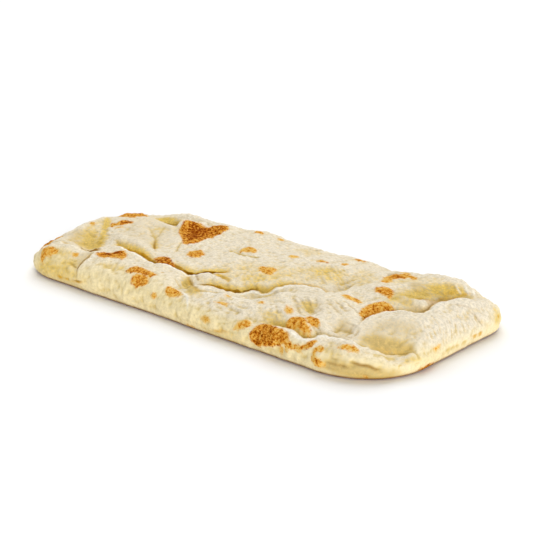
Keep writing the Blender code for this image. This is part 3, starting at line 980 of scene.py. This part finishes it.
TOAST_EDGE = 8.0  # how far outside a patch its field still counts
TOAST_BLEND = 2.0  # how sharply one patch's bake gives way to the next
DARK_BAKE = 0.7  # a patch baked darker than this wins over the patch that it lies in
DARK_WINS = 4.0
BLISTER_EDGE = 4.0  # width of the slope at a blister's edge
LINE_REACH = 6.0  # half widths over which a line is felt
LINE_LIP = 0.35  # rise beside a groove, as a share of its depth
LINE_LIP_AT = 2.2  # in half widths of the line
LINE_LIP_WIDTH = 1.3
STREAK_REACH = 2.0  # how far wrinkles go, as a share of the patch's half sizes
STREAK_FADE = 1.5
STREAK_STRETCH = 4.0  # how much longer than wide a wrinkle is
FOLD_REACH = 16.0  # how far a fold's sharp edge is felt
FOLD_CUT = 0.12  # how much deeper the sharp foot of a fold goes, as a share of its depth
FOLD_CUT_WIDTH = 1.5
FOLD_LIP = 0.1  # rise of the lip on a fold's right, as a share of its depth
FOLD_LIP_AT = 4.0
FOLD_LIP_WIDTH = 3.0
FOLD_LEAN = 0.35  # how far that lip leans over the fold, as a share of its depth
FOLD_LEAN_AT = 3.0
TINT_REACH = 2.5  # how far a fold's gold is followed, in its own reaches
TINT_UNDER_LIP = 1.0  # how far the gold goes in under the lip on the fold's right
# Painted shade: the dark foot of a fold
FOOT_EDGE = 0.5  # how quickly a fold's dark foot fades
# Flour and a painted highlight on raised lines
RIDGE_FLOUR_AND_HIGHLIGHT = 0.75  # how pale a raised line is
# Painted shade: deep gold at a fold's foot
DEEP_REACH = 0.9  # how far deep gold spreads up from a fold's foot
# Flour and a painted highlight on the lip of a fold, only where the face points up
LIP_AT = 4.6  # how far from the crease its pale lip is
LIP_WIDTH = 1.5
LIP_SLOPE = 0.35  # pale lips show where a face points up by more than this
LIP_SLOPE_WIDTH = 0.4
FOOT_FADE = 7.0  # height below which the fine relief fades out
FOOT_BROWN = 4.0  # height below which the foot turns brown
FLOUR_FROM = 7.0  # height at which flour starts, and over how much it grows
FLOUR_RISE = 14.0
# Painted shade: hollows are painted golden
HOLLOW_SPREAD = 6.0  # hollows of about this size turn golden
HOLLOW_DEPTH = 3.0
HOLLOW_SHADE_GOLD = 0.5
# Painted highlight on fine crests and painted yellow shade in fine grooves
CREST_SPREAD = 1.8  # crests of about this size are pale, and grooves yellow
CREST_HEIGHT = 1.0
GROOVE_DEPTH = 0.7
CREST_SHARE = 0.3
DIMPLES = ((26.0, 0.8), (11.0, 0.6), (5.0, 0.45), (2.8, 0.25))  # size and height of the unevenness


def ellipse_ratio(x, y, patch):
    """0 at the patch's middle, 1 on its edge."""
    along, across = turned(x - patch.x, y - patch.y, patch.turn)
    return np.hypot(along / patch.along, across / patch.across)


def inside(x, y, outline, reach):
    """For the points near an outline: which they are, and how far inside it (negative outside)."""
    closed = (*outline, outline[0])
    near, distance, _, _ = beside_route(x, y, closed, reach)
    within = np.zeros(len(near), bool)
    corners = smooth_route(closed)
    for (start_x, start_y), (end_x, end_y) in zip(corners, corners[1:]):
        crossed = (start_y > y[near]) != (end_y > y[near])
        slope = (end_x - start_x) / (end_y - start_y or 1.0)
        within ^= crossed & (x[near] < start_x + slope * (y[near] - start_y))
    distance = np.abs(distance)
    return near, np.clip(np.where(within, distance, -distance), -reach, reach)


def toast_fields(x, y):
    """Millimetres inside the nearest browned patch, negative outside; how dark it is baked; and the rise
    of the blister under it.
    """
    field = np.full_like(x, -TOAST_EDGE)
    weight = np.full_like(x, FAINT)
    bake = np.zeros_like(x)
    rise = np.zeros_like(x)
    for spot in TOASTS:
        ratio = ellipse_ratio(x, y, spot)
        depth = np.maximum((1.0 - ratio) * min(spot.along, spot.across), -TOAST_EDGE)
        share = np.exp(TOAST_BLEND * depth)
        bake += share * spot.bake
        weight += share
        field = np.maximum(field, depth)
        rise += spot.rise * np.exp(-(ratio**2))
    for spot in BLOTS.values():
        near, depth = inside(x, y, spot.outline, TOAST_EDGE)
        over = DARK_WINS * (depth > 0.0) * (spot.bake > DARK_BAKE)
        share = np.exp(TOAST_BLEND * np.minimum(depth, 1.0)) * (1.0 + over)
        bake[near] += share * spot.bake
        weight[near] += share
        field[near] = np.maximum(field[near], depth)
        rise[near] += spot.rise * np.clip(depth / BLISTER_EDGE + 0.5, 0.0, 1.0)
    return field, bake / weight, rise


def washed(x, y, washes):
    """The strongest of the washes at each point, soft at the edges."""
    amount = np.zeros_like(x)
    for wash in washes.values():
        near, depth = inside(x, y, wash.outline, wash.soft)
        share = np.clip(depth / wash.soft * 0.5 + 0.5, 0.0, 1.0)
        amount[near] = np.maximum(amount[near], wash.amount * share**2 * (3.0 - 2.0 * share))
    return amount


def lumps(x, y, z, size, seed):
    """Smooth unevenness between about -1 and 1."""
    points = np.stack([x / size + seed, y / size, z / size]).T
    return np.array([noise.noise(Vector(point)) for point in points]) * 2.0


def dimples(x, y, z):
    height = np.zeros_like(x)
    for seed, (size, rise) in enumerate(DIMPLES):
        height += rise * lumps(x, y, z, size, 17.0 * seed)
    return height


def streaks(x, y):
    height = np.zeros_like(x)
    for seed, patch in enumerate(STREAKS):
        ratio = ellipse_ratio(x, y, patch)
        near = np.flatnonzero(ratio < STREAK_REACH)
        along, across = turned(x[near], y[near], patch.turn)
        wave = lumps(along / STREAK_STRETCH, across, np.zeros_like(across), patch.spacing, 5.0 * seed)
        height[near] += patch.height * np.exp(-(ratio[near] ** 2) * STREAK_FADE) * wave
    return height


def fine_lines(x, y):
    """Height of the fine lines, their painted shade in the grooves, and the flour and painted highlight on
    the ridges.
    """
    height, dark, pale = np.zeros((3, len(x)))
    for line in LINES:
        near, distance, share, _ = beside_route(x, y, line.route, line.width * LINE_REACH)
        strength = end_fade(share)
        groove = np.exp(-np.abs(distance) / line.width)
        past_lip = (distance / line.width + LINE_LIP_AT) / LINE_LIP_WIDTH
        lip = LINE_LIP * max(-line.height, 0.0)
        height[near] += strength * (line.height * groove + lip * np.exp(-(past_lip**2)))
        core = np.exp(-((distance / line.width) ** 2))
        dark[near] = np.maximum(dark[near], strength * core * line.dark)
        if line.height > 0:
            pale[near] = np.maximum(pale[near], RIDGE_FLOUR_AND_HIGHLIGHT * strength * groove)
    return height, dark, pale


def fold_edges(x, y):
    """Sharpens each fold: height, and how far the lip on its right leans over it."""
    height = np.zeros_like(x)
    lean = np.zeros((2, len(x)))
    for fold in FOLDS.values():
        near, distance, share, left = beside_route(x, y, fold.route, FOLD_REACH)
        strength = end_fade(share)
        cut = np.exp(-np.abs(distance) / FOLD_CUT_WIDTH)
        lip = np.exp(-(((distance + FOLD_LIP_AT) / FOLD_LIP_WIDTH) ** 2)) * (distance < 0)
        height[near] += fold.depth * strength * (FOLD_LIP * lip - FOLD_CUT * cut)
        over = np.exp(-(((distance + FOLD_LEAN_AT) / FOLD_LIP_WIDTH) ** 2)) * (distance < 0)
        lean[:, near] += FOLD_LEAN * fold.depth * strength * over * left
    return height, lean


def at_steps(values, share):
    """The values, given at even steps from one end of a route to the other, at each share of it."""
    return np.interp(share, np.linspace(0.0, 1.0, len(values)), values)


def fold_tints(x, y):
    """Painted shade of the folds as gold, deep gold and a dark foot, and their pale lip of flour and painted
    highlight.
    """
    gold, deep, dark, lip = np.zeros((4, len(x)))
    for name, tint in TINTS.items():
        reach = max(tint.touch) + TINT_REACH * tint.reach
        near, distance, share, _ = beside_route(x, y, FOLDS[name].route, reach)
        strength = end_fade(share)
        beyond = np.maximum(distance - at_steps(tint.touch, share), 0.0)
        beyond += np.maximum(-TINT_UNDER_LIP - distance, 0.0)
        spread = strength * np.exp(-((beyond / tint.reach) ** 2))
        gold[near] = np.maximum(gold[near], at_steps(tint.gold, share) * spread)
        spread = strength * np.exp(-((beyond / DEEP_REACH) ** 2))
        deep[near] = np.maximum(deep[near], at_steps(tint.deep, share) * spread)
        spread = strength * np.exp(-((beyond / FOOT_EDGE) ** 2))
        dark[near] = np.maximum(dark[near], at_steps(tint.dark, share) * spread)
        crest = np.exp(-(((distance + LIP_AT) / LIP_WIDTH) ** 2))
        lip[near] = np.maximum(lip[near], tint.lip * strength * crest)
    clear = np.clip(1.0 - lip, 0.0, 1.0)
    return gold * clear, deep * clear, dark, lip


def patch_amount(x, y, patches):
    """The strongest of the patches at each point, fading from its middle."""
    amount = np.zeros_like(x)
    for patch in patches:
        amount = np.maximum(amount, patch.amount * np.exp(-(ellipse_ratio(x, y, patch) ** 2)))
    return amount


def smoothed(mesh, values, spread):
    """Averages the values over the mesh, about as far as the spread in millimetres."""
    ends = np.zeros(len(mesh.edges) * 2, np.int32)
    mesh.edges.foreach_get("vertices", ends)
    first, second = ends.reshape(-1, 2).T
    count = len(values)
    neighbours = np.bincount(ends, minlength=count)
    for _ in range(int(4 * spread**2)):
        total = np.bincount(first, values[second], count) + np.bincount(second, values[first], count)
        values = (values + total / neighbours) / 2
    return values


def flour_amount(z, normals):
    """Flour lies on what faces up, and less on the sides."""
    return np.clip(normals[:, 2], 0.0, 1.0) * np.clip((z - FLOUR_FROM) / FLOUR_RISE, 0.0, 1.0)


def raised(points, normals, height, lean):
    """The points on the uneven outline, moved out by the height and sideways by the lean."""
    x, y, z = points.T
    moved = np.stack([*push_outline(x, y), z]).T
    moved += normals * height[:, None]
    moved[:, :2] += lean.T
    return moved


def hollows_and_crests(mesh, x, y, z, height):
    """How far each point lies below the broad form around it, and above the fine one."""
    top = crown(x, y)
    roundness = (top_height(x, y) - EQUATOR) / (top - EQUATOR)
    relief = (top - THICKNESS) * roundness * (z > EQUATOR) + height
    return smoothed(mesh, relief, HOLLOW_SPREAD) - relief, relief - smoothed(mesh, relief, CREST_SPREAD)


def paint_crust(mesh, points, normals, flat, height, line_marks, toasts):
    """Writes where the crust is floured, golden, browned and pale, with painted shade in hollows and creases
    and a painted highlight on lips and crests, for its material.
    """
    x, y, z = points.T
    hollow, crest = hollows_and_crests(mesh, x, y, z, height)
    line_dark, line_pale = line_marks
    toast, bake = toasts
    gold, deep, dark, lip = fold_tints(x, y)
    gold = np.maximum(gold, washed(*flat, GOLDS))
    # Painted shade: hollows below the broad form turn more golden, raised ground less
    gold += np.clip(hollow / HOLLOW_DEPTH, -0.5, 1.0) * HOLLOW_SHADE_GOLD
    deep = np.maximum(deep, washed(*flat, DEEPS))
    # Painted highlight with flour on fine crests, only where the face points up
    lip = np.maximum(lip, np.clip(crest / CREST_HEIGHT, 0.0, 1.0) * CREST_SHARE)
    lip *= np.clip((normals[:, 2] - LIP_SLOPE) / LIP_SLOPE_WIDTH, 0.0, 1.0)
    amounts = {
        "flour": flour_amount(z, normals) + washed(*flat, FLOURS) - washed(*flat, BARES),
        "gold": gold,
        "deep": np.maximum(deep, patch_amount(*flat, MARKS)),
        "painted_shade": washed(*flat, PAINTED_SHADE_WASHES),
        "groove": np.clip(-crest / GROOVE_DEPTH, 0.0, 1.0),
        "dark": np.maximum(line_dark, dark),
        "lip": np.maximum(lip, line_pale),
        "toast": toast,
        "bake": bake,
        "foot": np.clip(1.0 - z / FOOT_BROWN, 0.0, 1.0),
    }
    for name, values in amounts.items():
        layer = mesh.attributes.new(name, "FLOAT", "POINT")
        layer.data.foreach_set("value", values.astype(np.float32))


def bread():
    """The whole bread: the slab with its crust raised and painted."""
    bm = slab()
    mesh = bpy.data.meshes.new("bread_crust")
    bm.to_mesh(mesh)
    bm.free()
    points = read_vectors(mesh.vertices, "co")
    normals = read_vectors(mesh.vertex_normals, "vector")
    x, y, z = points.T
    flat = laid_flat(x, y, z)
    line_height, *line_marks = fine_lines(*flat)
    edge_height, lean = fold_edges(x, y)
    *toasts, rise = toast_fields(*flat)
    height = line_height + edge_height + dimples(x, y, z) + streaks(*flat) + rise
    fade = np.clip(z / FOOT_FADE, 0.0, 1.0)
    points = raised(points, normals, height * fade, lean * fade)
    write_vertices(mesh, points * MM)
    paint_crust(mesh, points, normals, flat, height * fade, line_marks, toasts)
    piece = bpy.data.objects.new("bread_crust", mesh)
    bpy.context.scene.collection.objects.link(piece)
    return piece


# ---- Crust material ----


def linear(red, green, blue):
    """A colour given as seen on screen, 0 to 255, as the shader wants it."""
    seen = np.array([red, green, blue]) / 255
    return (*np.where(seen <= 0.04045, seen / 12.92, ((seen + 0.055) / 1.055) ** 2.4), 1.0)


FLOUR = linear(232, 221, 199)
CREAM = linear(238, 221, 174)
# Golden dough, also painted as shade in hollows and on slopes turned from the light
GOLD = linear(224, 192, 100)
# Golden marks of the dough, and painted shade in hollows and at the feet of folds
DEEP_GOLD = linear(210, 160, 42)
# Painted shade: a darker sandy yellow
PAINTED_SHADE_YELLOW = linear(202, 176, 114)
# Painted shade in fine grooves
PAINTED_GROOVE_SHADE = linear(208, 180, 104)
# Flour and painted highlight on lips and ridges
LIP_FLOUR_AND_HIGHLIGHT = linear(252, 248, 236)
# Painted shade in creases and grooves
PAINTED_CREASE_SHADE = linear(132, 86, 6)
UNDERSIDE = linear(140, 88, 36)
# Browned patches, from barely touched to darkest: tone and colour
BAKED = (
    (0.0, linear(232, 192, 108)),
    (0.25, linear(226, 172, 74)),
    (0.5, linear(216, 147, 50)),
    (0.72, linear(192, 114, 26)),
    (1.0, linear(132, 58, 0)),
)


class Shader:
    """Adds nodes to a material and wires them up."""

    def __init__(self, name):
        self.material = bpy.data.materials.new(name)
        self.material.use_nodes = True
        self.tree = self.material.node_tree
        self.surface = self.tree.nodes["Principled BSDF"]

    def node(self, kind, **settings):
        made = self.tree.nodes.new(kind)
        for name, value in settings.items():
            setattr(made, name, value)
        return made

    def wire(self, source, socket):
        if hasattr(source, "links") or hasattr(source, "is_linked"):
            self.tree.links.new(source, socket)
        else:
            socket.default_value = source

    def attribute(self, name):
        return self.node("ShaderNodeAttribute", attribute_name=name).outputs["Fac"]

    def noise(self, size, detail=2.0, roughness=0.5, stretch=(1.0, 1.0, 1.0)):
        """Noise whose cells are about the given size in millimetres."""
        place = self.node("ShaderNodeMapping")
        place.inputs["Scale"].default_value = stretch
        self.wire(self.node("ShaderNodeTexCoord").outputs["Object"], place.inputs["Vector"])
        made = self.node("ShaderNodeTexNoise")
        self.wire(place.outputs["Vector"], made.inputs["Vector"])
        made.inputs["Scale"].default_value = 1000.0 / size
        made.inputs["Detail"].default_value = detail
        made.inputs["Roughness"].default_value = roughness
        return made.outputs["Fac"]

    def math(self, operation, first, second=0.0):
        made = self.node("ShaderNodeMath", operation=operation)
        self.wire(first, made.inputs[0])
        self.wire(second, made.inputs[1])
        return made.outputs[0]

    def plus(self, value, noise, amount):
        """The value made uneven by noise, both ways."""
        return self.math("ADD", value, self.math("MULTIPLY", self.math("SUBTRACT", noise, 0.5), amount))

    def ramp(self, value, low, high):
        """0 at low, 1 at high, smooth between."""
        made = self.node("ShaderNodeMapRange", interpolation_type="SMOOTHSTEP")
        self.wire(value, made.inputs["Value"])
        made.inputs["From Min"].default_value = low
        made.inputs["From Max"].default_value = high
        return made.outputs["Result"]

    def mix(self, share, first, second):
        made = self.node("ShaderNodeMix", data_type="RGBA")
        self.wire(share, made.inputs["Factor"])
        self.wire(first, made.inputs[6])
        self.wire(second, made.inputs[7])
        return made.outputs[2]

    def scale(self, colour, factor):
        made = self.node("ShaderNodeVectorMath", operation="SCALE")
        self.wire(colour, made.inputs[0])
        self.wire(factor, made.inputs["Scale"])
        return made.outputs[0]

    def shades(self, value, stops):
        """Colours along a scale, as positions and colours."""
        made = self.node("ShaderNodeValToRGB")
        ramp = made.color_ramp
        ramp.elements[0].position, ramp.elements[0].color = stops[0]
        ramp.elements[1].position, ramp.elements[1].color = stops[-1]
        for place, colour in stops[1:-1]:
            ramp.elements.new(place).color = colour
        self.wire(value, made.inputs["Fac"])
        return made.outputs["Color"]


def dough(made, grain, uneven, dusty):
    """Cream dough: floured on top, golden in places, with painted shade as gold in hollows, as sandy yellow
    and as dark in grooves and creases, and pale lips of flour and painted highlight.
    """
    mottle = made.noise(14.0, 4.0, 0.6)
    floured = made.plus(made.plus(made.attribute("flour"), mottle, 0.25), grain, made.math("ADD", dusty, 0.3))
    colour = made.mix(made.ramp(floured, 0.0, 1.1), CREAM, FLOUR)
    golden = made.plus(made.attribute("gold"), uneven, made.math("MULTIPLY", dusty, 0.5))
    golden = made.plus(golden, grain, made.ramp(golden, -0.3, 0.9))
    colour = made.mix(made.ramp(golden, 0.0, 1.0), colour, GOLD)
    # Painted shade in fine grooves
    colour = made.mix(made.math("MULTIPLY", made.attribute("groove"), 0.8), colour, PAINTED_GROOVE_SHADE)
    # Painted shade, as a darker sandy yellow
    painted_shade = made.plus(made.attribute("painted_shade"), grain, 1.0)
    colour = made.mix(made.ramp(painted_shade, 0.1, 1.1), colour, PAINTED_SHADE_YELLOW)
    colour = made.mix(made.ramp(made.attribute("deep"), 0.05, 1.0), colour, DEEP_GOLD)
    # Pale lips: flour and painted highlight
    colour = made.mix(made.ramp(made.attribute("lip"), 0.1, 0.9), colour, LIP_FLOUR_AND_HIGHLIGHT)
    # Painted shade in creases and grooves
    colour = made.mix(made.ramp(made.attribute("dark"), 0.05, 0.9), colour, PAINTED_CREASE_SHADE)
    rough = made.math("ADD", made.math("MULTIPLY", made.ramp(golden, 0.1, 1.0), 0.4), 0.6)
    rough = made.math("ADD", made.math("MULTIPLY", dusty, 0.35), rough)
    return made.scale(colour, made.plus(1.0, grain, rough))


def browned(made, colour, uneven):
    """The dough with its toasted spots, ragged and paler at their edges, and its brown foot."""
    speckle = made.noise(2.2, 3.0, 0.75)
    ragged = made.plus(made.plus(made.attribute("toast"), uneven, 3.0), speckle, 3.0)
    fringe = made.math("MULTIPLY", made.ramp(ragged, -1.0, 2.5), 0.25)
    tone = made.math("ADD", made.math("SUBTRACT", made.attribute("bake"), 0.25), fringe)
    baked = made.shades(made.plus(tone, speckle, 3.4), BAKED)
    colour = made.mix(made.ramp(ragged, -1.5, 0.9), colour, baked)
    return made.mix(made.ramp(made.attribute("foot"), 0.1, 0.9), colour, UNDERSIDE)


def crust():
    made = Shader("baked crust")
    grain = made.noise(2.0, 3.0, 0.7)
    uneven = made.noise(4.0, 3.0, 0.65)
    dusty = made.ramp(made.attribute("flour"), 0.3, 1.0)
    colour = browned(made, dough(made, grain, uneven, dusty), uneven)
    made.wire(colour, made.surface.inputs["Base Color"])
    bump = made.node("ShaderNodeBump")
    made.wire(made.math("ADD", made.math("MULTIPLY", dusty, 0.5), 0.5), bump.inputs["Strength"])
    bump.inputs["Distance"].default_value = MM
    made.wire(made.noise(2.2, 4.0, 0.65), bump.inputs["Height"])
    made.wire(bump.outputs["Normal"], made.surface.inputs["Normal"])
    made.surface.inputs["Roughness"].default_value = 0.85
    made.surface.inputs["Specular IOR Level"].default_value = 0.02
    return made.material


# ---- Stage ----

CAMERA_AZIMUTH = 42.1
CAMERA_ELEVATION = 17.85
CAMERA_DISTANCE = 0.9415
CAMERA_TARGET = (-0.036, 0.0645, 0.0)
CAMERA_LENS = 72.0

FLOOR_SIZE = 30.0


def towards(azimuth, elevation):
    """Unit direction from the bread, by degrees round from -y towards +x and degrees up."""
    turn = np.radians(azimuth)
    rise = np.radians(elevation)
    return Vector((np.sin(turn) * np.cos(rise), -np.cos(turn) * np.cos(rise), np.sin(rise)))


def camera():
    made = bpy.data.objects.new("camera", bpy.data.cameras.new("camera"))
    back = towards(CAMERA_AZIMUTH, CAMERA_ELEVATION)
    made.location = Vector(CAMERA_TARGET) + back * CAMERA_DISTANCE
    made.rotation_euler = (-back).to_track_quat("-Z", "Y").to_euler()
    made.data.lens = CAMERA_LENS
    bpy.context.scene.collection.objects.link(made)
    bpy.context.scene.camera = made


def floor():
    bm = bmesh.new()
    bmesh.ops.create_grid(bm, x_segments=1, y_segments=1, size=FLOOR_SIZE / 2)
    mesh = bpy.data.meshes.new("floor")
    bm.to_mesh(mesh)
    bm.free()
    made = bpy.data.objects.new("floor", mesh)
    bpy.context.scene.collection.objects.link(made)
    shade = Shader("white floor")
    shade.surface.inputs["Base Color"].default_value = (0.97, 0.97, 0.97, 1.0)
    shade.surface.inputs["Roughness"].default_value = 0.9
    shade.surface.inputs["Specular IOR Level"].default_value = 0.0
    mesh.materials.append(shade.material)


def soft_light(name, azimuth, elevation, spread, strength, colour=(1.0, 1.0, 1.0)):
    """Even light from one side of the studio."""
    lamp = bpy.data.lights.new(name, "SUN")
    lamp.angle = np.radians(spread)
    lamp.energy = strength
    lamp.color = colour
    made = bpy.data.objects.new(name, lamp)
    made.rotation_euler = (-towards(azimuth, elevation)).to_track_quat("-Z", "Y").to_euler()
    bpy.context.scene.collection.objects.link(made)


def studio():
    world = bpy.data.worlds.new("studio")
    world.use_nodes = True
    world.node_tree.nodes["Background"].inputs["Color"].default_value = (1.0, 1.0, 1.0, 1.0)
    world.node_tree.nodes["Background"].inputs["Strength"].default_value = 0.42
    bpy.context.scene.world = world
    soft_light("window behind", 220.0, 50.0, 60.0, 2.3)
    soft_light("low fill in front", 62.0, 8.0, 30.0, 2.4)
    bpy.context.scene.view_settings.view_transform = "Standard"


piece = bread()
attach(piece, "root")
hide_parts("pinsa_base")
piece.data.materials.append(crust())
floor()
studio()
camera()
